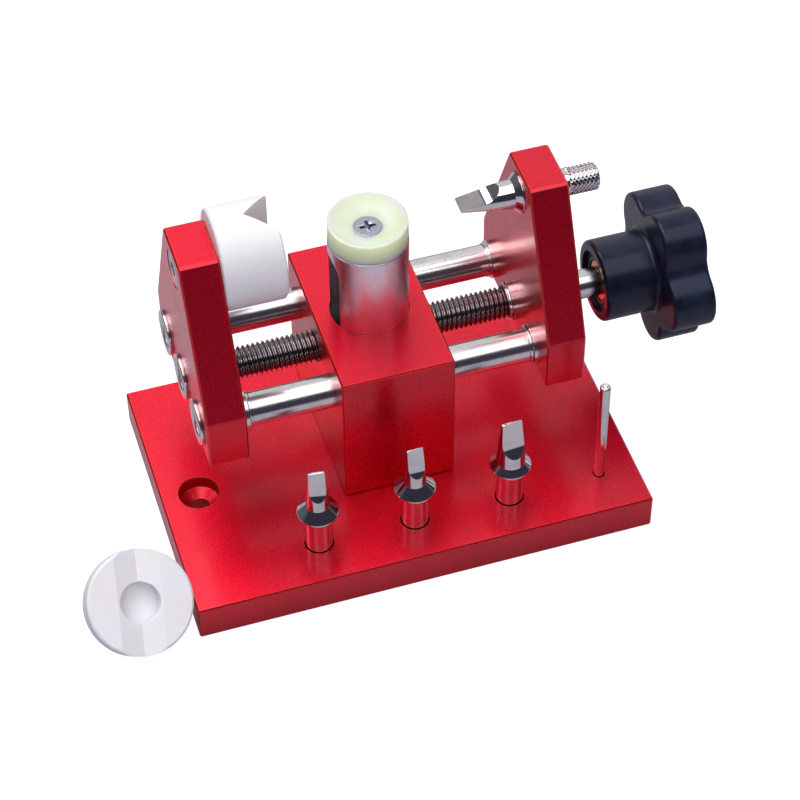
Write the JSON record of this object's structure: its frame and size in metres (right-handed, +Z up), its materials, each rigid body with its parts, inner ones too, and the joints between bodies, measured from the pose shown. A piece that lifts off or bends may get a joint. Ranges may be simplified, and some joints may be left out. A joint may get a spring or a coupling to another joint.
{
  "type": "watch case press",
  "caption": "Bench press for push-fit watch case backs: a hand screw closes a nylon V jaw and a blade bit over a sprung, padded post.",
  "frame": {"origin": "centre of the base plate's underside", "axes": "+Z up out of the base, +X along the lead screw towards the hand knob, +Y towards the back"},
  "size_m": [0.2024, 0.0965, 0.107],
  "materials": {
    "red_aluminium": "fine-blasted red anodised aluminium with chamfered edges",
    "polished_steel": "ground and polished steel",
    "chrome_steel": "bright nickel-chrome plate",
    "satin_aluminium": "satin silver anodised aluminium",
    "black_oxide": "black-oxide threads with bright worn crests",
    "black_plastic": "glossy moulded phenolic",
    "brass": "turned brass",
    "white_nylon": "machined milky nylon",
    "soft_pad": "translucent yellow-green polyurethane",
    "zinc_steel": "zinc-plated steel"
  },
  "bodies": {
    "frame": {"base_plate": "red_aluminium", "centre_block": "red_aluminium", "block_screws": "zinc_steel", "rod_set_screws": "zinc_steel", "screw_stop_pins": "polished_steel", "guide_rod_front": "polished_steel", "guide_rod_back": "polished_steel"},
    "screw": {"lead_screw": "black_oxide", "knob_sleeve": "polished_steel", "knob": "black_plastic", "knob_insert": "brass", "knob_set_screw": "zinc_steel"},
    "left_jaw": {"left_jaw_plate": "red_aluminium", "left_bush_front": "chrome_steel", "left_bush_back": "chrome_steel", "left_nut": "chrome_steel", "nylon_jaw": "white_nylon", "nylon_jaw_screw": "zinc_steel"},
    "right_jaw": {"right_jaw_plate": "red_aluminium", "right_bush_front": "chrome_steel", "right_bush_back": "chrome_steel", "right_nut": "chrome_steel"},
    "bit": {"blade_bit": "chrome_steel"},
    "sprung_post": {"post": "satin_aluminium", "post_pad": "soft_pad", "pad_screw": "zinc_steel", "post_spring": "zinc_steel"},
    "left_spare": {"spare_bit_left": "chrome_steel"},
    "middle_spare": {"spare_bit_middle": "chrome_steel"},
    "right_spare": {"spare_bit_right": "chrome_steel"},
    "pin": {"steel_pin": "chrome_steel"},
    "loose_jaw": {"spare_nylon_jaw": "white_nylon"}
  },
  "joints": [
    {"name": "screw_turn", "type": "hinge", "parent": "frame", "child": "screw", "pos_m": [0, 0.013, 0.0482], "axis": [-1, 0, 0], "range_deg": [0, 3600]},
    {"name": "left_jaw_slide", "type": "slide", "parent": "frame", "child": "left_jaw", "axis": [1, 0, 0], "range_m": [0, 0.015]},
    {"name": "right_jaw_slide", "type": "slide", "parent": "frame", "child": "right_jaw", "axis": [-1, 0, 0], "range_m": [0, 0.015]},
    {"name": "bit_turn", "type": "hinge", "parent": "right_jaw", "child": "bit", "pos_m": [0.05, 0.013, 0.092], "axis": [1, 0, 0], "continuous": true},
    {"name": "post_press", "type": "slide", "parent": "frame", "child": "sprung_post", "axis": [0, 0, -1], "range_m": [0, 0.014], "stiffness_N_per_m": 900, "springref_m": -0.006, "deforming": ["post_spring"]},
    {"name": "left_spare_lift", "type": "slide", "parent": "frame", "child": "left_spare", "axis": [0, 0, 1], "range_m": [0, 0.025]},
    {"name": "middle_spare_lift", "type": "slide", "parent": "frame", "child": "middle_spare", "axis": [0, 0, 1], "range_m": [0, 0.025]},
    {"name": "right_spare_lift", "type": "slide", "parent": "frame", "child": "right_spare", "axis": [0, 0, 1], "range_m": [0, 0.025]},
    {"name": "pin_lift", "type": "slide", "parent": "frame", "child": "pin", "axis": [0, 0, 1], "range_m": [0, 0.02]},
    {"name": "loose_jaw_lift", "type": "slide", "parent": "frame", "child": "loose_jaw", "axis": [0, 0, 1], "range_m": [0, 0.03]}
  ],
  "couplings": [
    {"joint": "right_jaw_slide", "follows": "left_jaw_slide", "ratio": 1},
    {"joint": "screw_turn", "follows": "left_jaw_slide", "rad_per_m": 4188.8}
  ]
}
